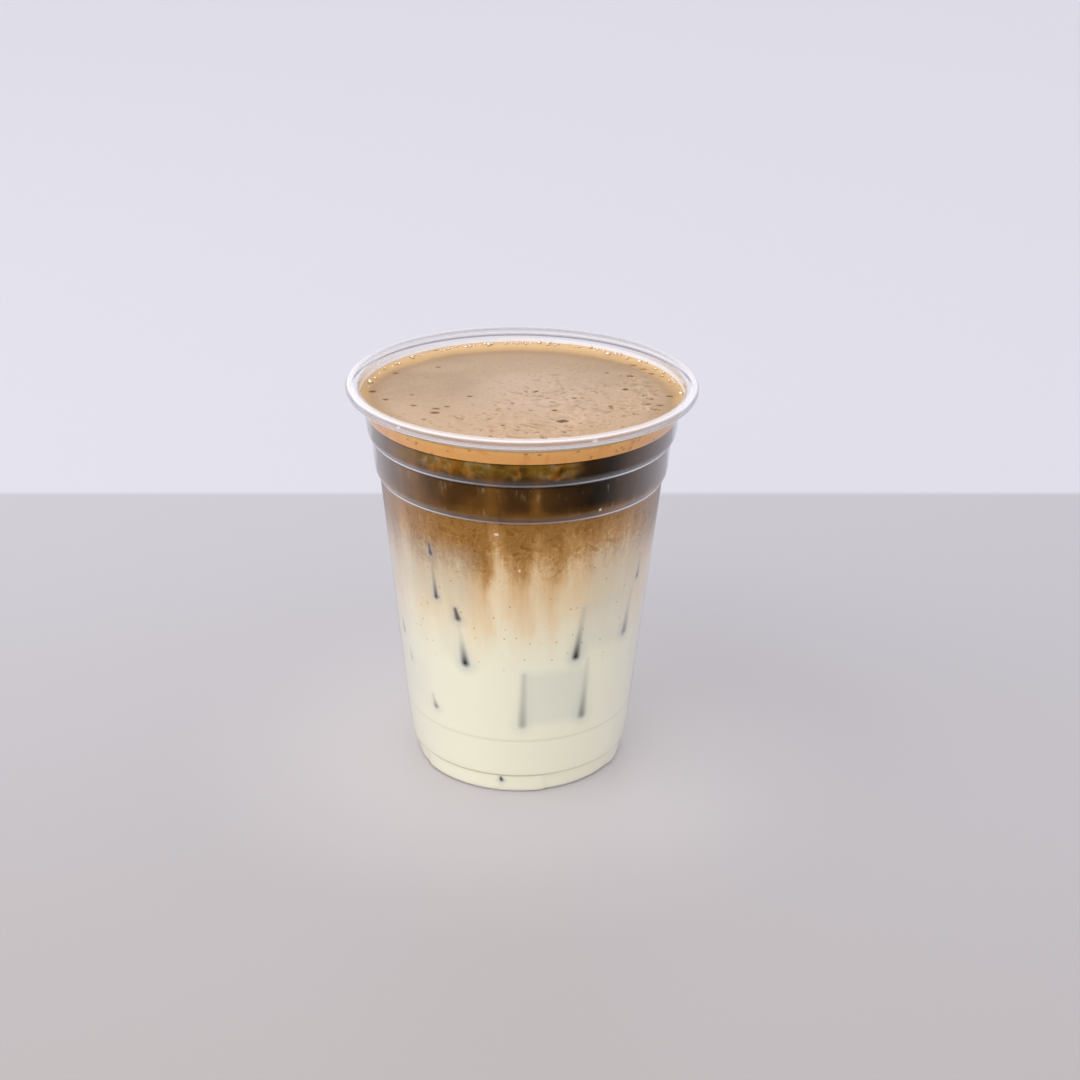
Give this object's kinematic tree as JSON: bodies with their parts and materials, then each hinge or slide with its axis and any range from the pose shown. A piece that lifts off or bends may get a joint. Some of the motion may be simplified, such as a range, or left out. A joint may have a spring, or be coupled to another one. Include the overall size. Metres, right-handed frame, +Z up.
{
  "type": "iced hojicha",
  "caption": "Layered iced hojicha of milk, dark tea and tan foam, filling a clear tapered cold cup with a rolled rim, stacking bands and a lugged foot.",
  "frame": {"origin": "centre of the cup's foot, at the height of the surface that it stands on", "axes": "+Z up along the cup's axis; -Y faces the viewer, +X is the viewer's right"},
  "size_m": [0.098, 0.098, 0.1156],
  "materials": {
    "clear_plastic": "clear, glossy thermoformed sheet",
    "milk": "opaque cream liquid behind clear plastic",
    "tea": "dark brown liquid with golden-brown swirls",
    "foam": "matt tan foam with small bubbles"
  },
  "bodies": {
    "root": {"cup": "clear_plastic", "milk": "milk", "tea": "tea", "foam": "foam"}
  },
  "joints": []
}
